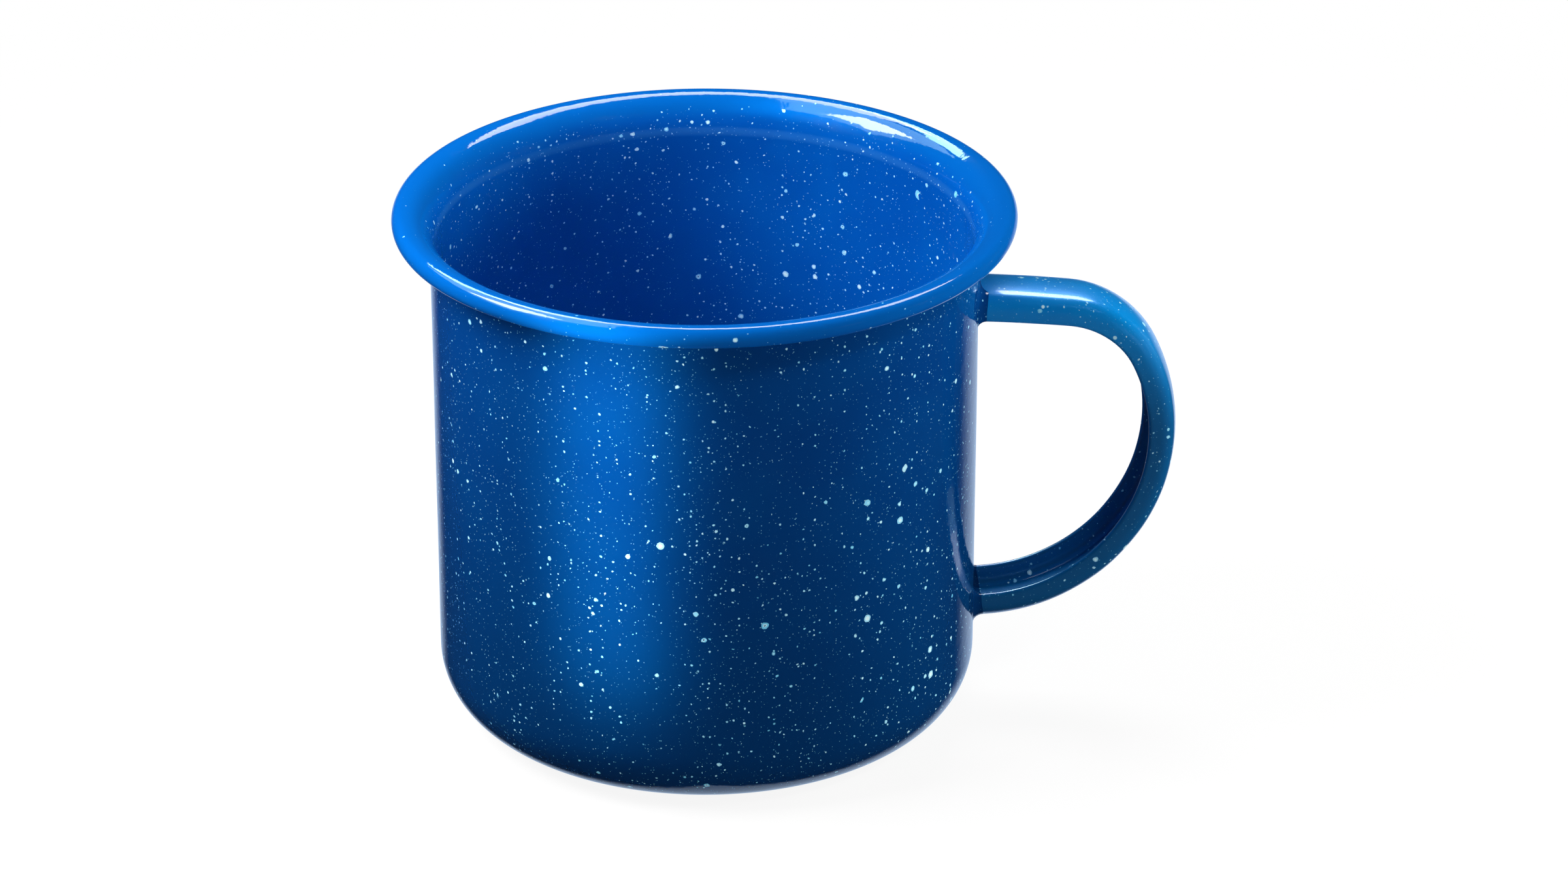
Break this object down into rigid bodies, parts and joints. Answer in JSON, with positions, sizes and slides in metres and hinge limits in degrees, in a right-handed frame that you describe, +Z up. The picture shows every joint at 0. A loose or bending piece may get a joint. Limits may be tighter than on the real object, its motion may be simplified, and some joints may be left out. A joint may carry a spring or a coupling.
{
  "type": "enamel mug",
  "caption": "Speckled enamelled steel camping mug: straight drawn cup with a flared, rolled rim and rounded foot corner, and a pressed channel strap handle welded to its side.",
  "frame": {"origin": "centre of the foot, on the cup's axis, in the plane the mug stands on", "axes": "+Z up along the cup's axis, out of its mouth; +X from the axis to the handle; the plane Y = 0 cuts the handle and the cup in half"},
  "size_m": [0.1147, 0.091, 0.0802],
  "materials": {
    "cup_steel": "satin",
    "inside_enamel": "gloss",
    "outside_enamel": "gloss",
    "handle_steel": "satin",
    "handle_enamel": "gloss",
    "weld_metal": "matte",
    "fillet_enamel": "gloss"
  },
  "bodies": {
    "root": {"cup_shell": "cup_steel", "inside_enamel": "inside_enamel", "outside_enamel": "outside_enamel", "handle_strip": "handle_steel", "handle_enamel": "handle_enamel", "upper_weld": "weld_metal", "lower_weld": "weld_metal", "upper_fillet": "fillet_enamel", "lower_fillet": "fillet_enamel"}
  },
  "joints": []
}
